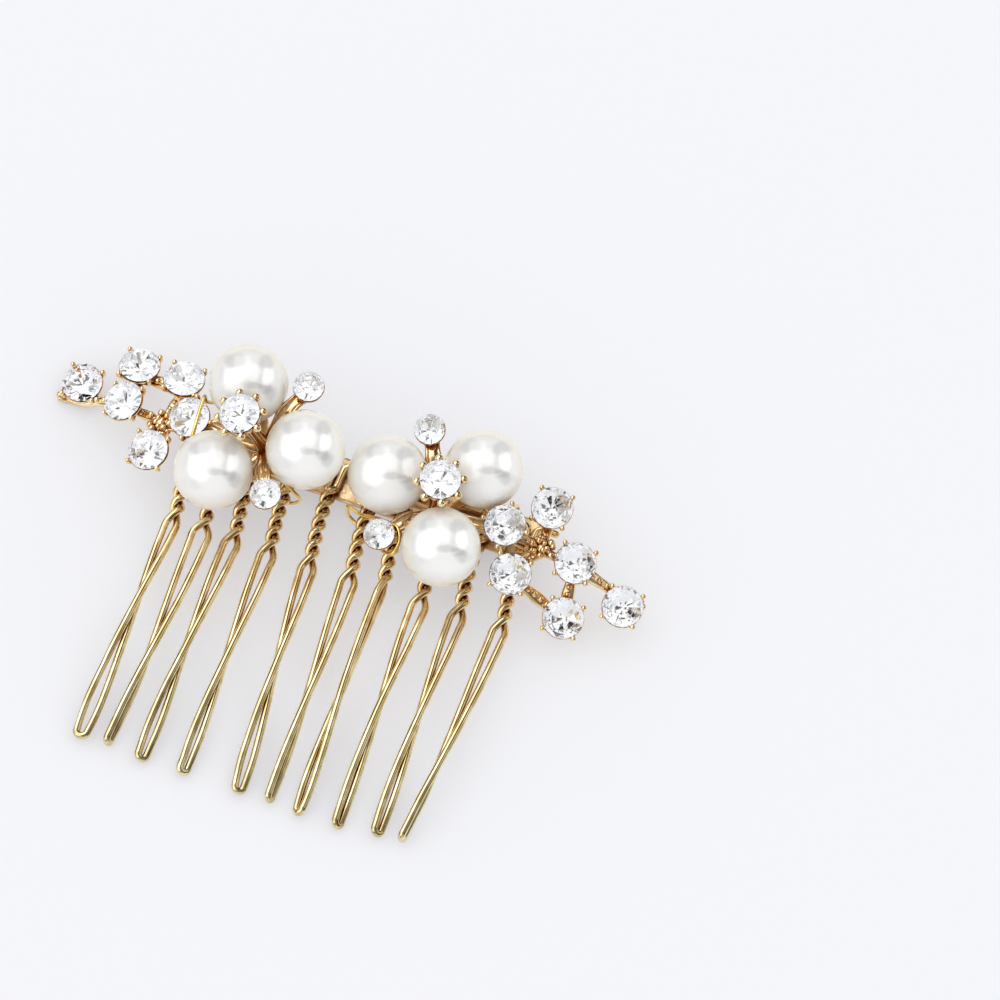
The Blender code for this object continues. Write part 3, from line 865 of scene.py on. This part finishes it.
def grains(mesher, centre, frame_turn, reach, count, radius, seed):
    """A cluster of small grains of metal heaped round a point."""
    dice = random.Random(seed)
    for _ in range(count):
        turn = dice.uniform(0, 2 * math.pi)
        out = reach * math.sqrt(dice.random())
        lift = dice.uniform(-0.1, 0.75) * MM * (1 - 0.5 * out / reach)
        offset = frame_turn @ Vector((out * math.cos(turn), out * math.sin(turn), lift))
        mesher.ball(centre + offset, radius * dice.uniform(0.75, 1.15), 12)


# A pearl's seat and the peg that stands in it: (radius, height) in mm from the pearl's centre.
SEAT_PROFILE = (
    (0, -6.05), (1.5, -6.05), (1.9, -5.9), (2.2, -5.4), (2.3, -4.8), (2.15, -4.68),
    (1.9, -4.8), (1.2, -5.12), (0.5, -5.15), (0.5, -2.2), (0, -2.2),
)


def make_casting(side):
    """One cast frame, placed by its pearls and stones, and those pearls and stones."""
    pearls = [pearl_centre(f"pearl_{side}_{i}") for i in (1, 2, 3)]
    stones = {name: stone_place(f"stone_{side}_{name}") for name in ("centre",) + SMALL + SPRAY}
    middle = (pearls[0] + pearls[1] + pearls[2]) / 3
    up = (pearls[2] - pearls[1]).cross(pearls[0] - pearls[1]).normalized()
    if up.z < 0:
        up = -up
    forward = (pearls[0] - middle).normalized()
    across = forward.cross(up).normalized()
    turn = Matrix((across, forward, up)).transposed()

    def local(x, y, z):
        return middle + turn @ (Vector((x, y, z)) * MM)

    mesher = Mesher()
    feet = {}
    for name, (place, radius) in stones.items():
        feet[name] = place @ Vector((0, 0, -radius * STONE_PAVILION - 0.55 * MM))
        cup(mesher, place, radius)
        if name in SPRAY:
            first = 0 if name == "near" else 45
            for k in range(4):
                claw(mesher, place, radius, first + 90 * k)
        elif name == "centre":
            ring_of_beads(mesher, place, radius + BEAD_REACH, -BEAD_DROP, BEAD_RADIUS, 20, 22.5)
            ring_of_beads(mesher, place, radius * 0.82, -1.15 * MM, 0.4 * MM, 16)
    hub = local(0, 0, -HUB_DROP / MM)
    along, aside = JOINT_REACH * math.cos(JOINT_ANGLE), JOINT_REACH * math.sin(JOINT_ANGLE)
    joint = local(along, aside, JOINT_HEIGHT)
    path = smooth_path([hub, hub.lerp(feet["centre"], 0.5), feet["centre"]], 8)
    # The post under the centre stone is waisted.
    flare = [abs(i / (len(path) - 1) - 0.5) * 2 for i in range(len(path))]
    widths = [(0.85 + 0.55 * value**2) * MM for value in flare]
    mesher.tube(path, widths, widths, 20, up=across)
    mesher.ball(hub, 1.3 * MM, 24)
    for name in SMALL:
        corners = [hub, hub.lerp(feet[name], 0.5) + up * 2.0 * MM, feet[name]]
        ribbon(mesher, corners, up, 0.8 * MM, 0.4 * MM, rails=0.24 * MM)
    reach = hub.lerp(joint, 0.5) + up * 1.4 * MM
    ribbon(mesher, [hub, reach, joint], up, 0.8 * MM, 0.4 * MM, rails=0.24 * MM)
    for name in ("near", "upper", "middle", "inner"):
        corners = [joint, joint.lerp(feet[name], 0.5) - up * 0.2 * MM, feet[name]]
        ribbon(mesher, corners, up, 0.65 * MM, 0.42 * MM, (0.36 * MM, 1.0 * MM))
    for start, end in (("middle", "tip"), ("middle", "outer"), ("inner", "outer")):
        first, last = feet[start], feet[end]
        if end == "tip":
            outward_way = (last - first).normalized()
            first = first + outward_way * TIP_ARM_START + up * TIP_ARM_LIFT
            last = last + turn @ TIP_ARM_SHIFT
            raised = max(0.0, CAD_BOX[0][2] + TIP_ARM_CLEAR - last.z)
            last = last + Vector((forward.x, forward.y, 0)).normalized() * raised
            last.z += raised
        corners = [first, first.lerp(last, 0.5) - up * 0.1 * MM, last]
        if end == "tip":
            onward = Vector((last.x - first.x, last.y - first.y, 0)).normalized()
            corners.append(last + onward * TIP_ARM_REACH)
            mesher.ball(corners[-1], TIP_ARM_END, 20)
        ribbon(mesher, corners, up, 0.75 * MM, 0.45 * MM, (0.42 * MM, 1.0 * MM))
    heap = joint + up * 0.3 * MM
    grains(mesher, heap, turn, GRAIN_REACH, GRAIN_COUNT, GRAIN_RADIUS, GRAIN_SEED)
    mesher.ball(joint, 0.95 * MM, 20)
    for pearl in pearls:
        seat = Matrix.Translation(pearl) @ turn.to_4x4()
        mesher.lathe([(r * MM, z * MM) for r, z in SEAT_PROFILE], 40, seat)
        foot = pearl - up * HUB_DROP
        ribbon(mesher, [hub, hub.lerp(foot, 0.5), foot], up, 0.62 * MM, 0.42 * MM)
    mesh = mesher.mesh(f"casting_{side}", [GOLD_CAST], sharp=50)
    outward(mesh)
    metal = piece(f"casting_{side}_metal", mesh, "casting", f"casting_{side}")
    # Light inside a stone sees the tent past the claws, so that it stays as clear as cut glass.
    metal.visible_transmission = False
    for i, pearl in enumerate(pearls, start=1):
        make_pearl(f"pearl_{side}_{i}", pearl, up)
    dice = random.Random(SPIN_SEEDS[side])
    for name, (place, radius) in stones.items():
        node = f"stone_{side}_{name}"
        spin = Matrix.Rotation(dice.uniform(0, math.pi / 4), 4, "Z")
        piece(node + "_cut", brilliant(radius), "stone", node, place=place @ spin)


for side in SIDES:
    make_casting(side)


# ---- floor, light and camera ----


def make_floor():
    mesh = bpy.data.meshes.new("floor")
    z = CAD_BOX[0][2] - 0.05 * MM
    half = 1.5
    corners = [(-half, -half, z), (half, -half, z), (half, half, z), (-half, half, z)]
    mesh.from_pydata(corners, [], [(0, 1, 2, 3)])
    mesh.materials.append(floor_material())
    floor = bpy.data.objects.new("floor", mesh)
    bpy.context.scene.collection.objects.link(floor)


def make_world():
    """A light tent. Diffuse light is even, mirrors see softboxes, and glass sees blotches."""
    world = bpy.data.worlds.new("tent")
    bpy.context.scene.world = world
    world.use_nodes = True
    world.cycles.sampling_method = "NONE"
    tree = world.node_tree
    background = tree.nodes["Background"]
    where = tree.nodes.new("ShaderNodeTexCoord")
    toward = Value(tree, where.outputs["Generated"])
    place = half_place(tree, toward)
    across, upward = place
    reach = (across * across + upward * upward).power(0.5)
    tent = reach.ramp(0.42, 0.76, 0.29, 0.03)
    tent = tent + window(place, -0.60, -0.12, -0.25, 0.40) * 1.2
    tent = tent + window(place, -0.36, 0.04, 0.25, 0.68) * 1.9
    tent = tent + window(place, 0.38, 0.62, 0.02, 0.36) * 0.6
    tent = tent + window(place, -0.25, 0.3, -0.62, -0.35, 0.08) * 0.5
    shade = window(place, -0.02, 0.32, -0.06, 0.03, 0.03) + window(place, 0.34, 0.62, -0.32, -0.06)
    shade = shade + window(place, 0.08, 0.32, 0.24, 0.48)
    tent = tent * shade.ramp(0, 1, 1, 0.25)
    blotch = tree.nodes.new("ShaderNodeTexNoise")
    blotch.inputs["Scale"].default_value = 2.2
    blotch.inputs["Detail"].default_value = 1.5
    tree.links.new(toward.socket, blotch.inputs["Vector"])
    sparkle = Value(tree, blotch.outputs["Fac"]).ramp(0.40, 0.48, 0.10, 1.2)
    ray = tree.nodes.new("ShaderNodeLightPath")
    diffuse = Value(tree, ray.outputs["Is Diffuse Ray"])
    glassy = Value(tree, ray.outputs["Is Transmission Ray"])
    mirrored = glassy * sparkle + (glassy * -1 + 1) * tent
    strength = diffuse * 1.08 + (diffuse * -1 + 1) * mirrored
    set_input(tree, background.inputs["Strength"], strength)
    background.inputs["Color"].default_value = (1.0, 0.995, 0.985, 1)


def make_camera():
    data = bpy.data.cameras.new("camera")
    data.sensor_width = SENSOR
    data.lens = SENSOR * CAMERA_DISTANCE / FRAME_WIDTH
    data.clip_end = 10
    camera = bpy.data.objects.new("camera", data)
    bpy.context.scene.collection.objects.link(camera)
    turn = Matrix((VIEW_RIGHT, VIEW_UP, VIEW_BACK)).transposed().to_4x4()
    camera.matrix_world = Matrix.Translation(CAMERA_AIM + VIEW_BACK * CAMERA_DISTANCE) @ turn
    bpy.context.scene.camera = camera


make_floor()
make_world()
make_camera()
bpy.context.scene.view_settings.view_transform = "Standard"
# Light bounces many times inside a cut stone before it leaves.
bpy.context.scene.cycles.max_bounces = 24
bpy.context.scene.cycles.glossy_bounces = 16
bpy.context.scene.cycles.transmission_bounces = 20
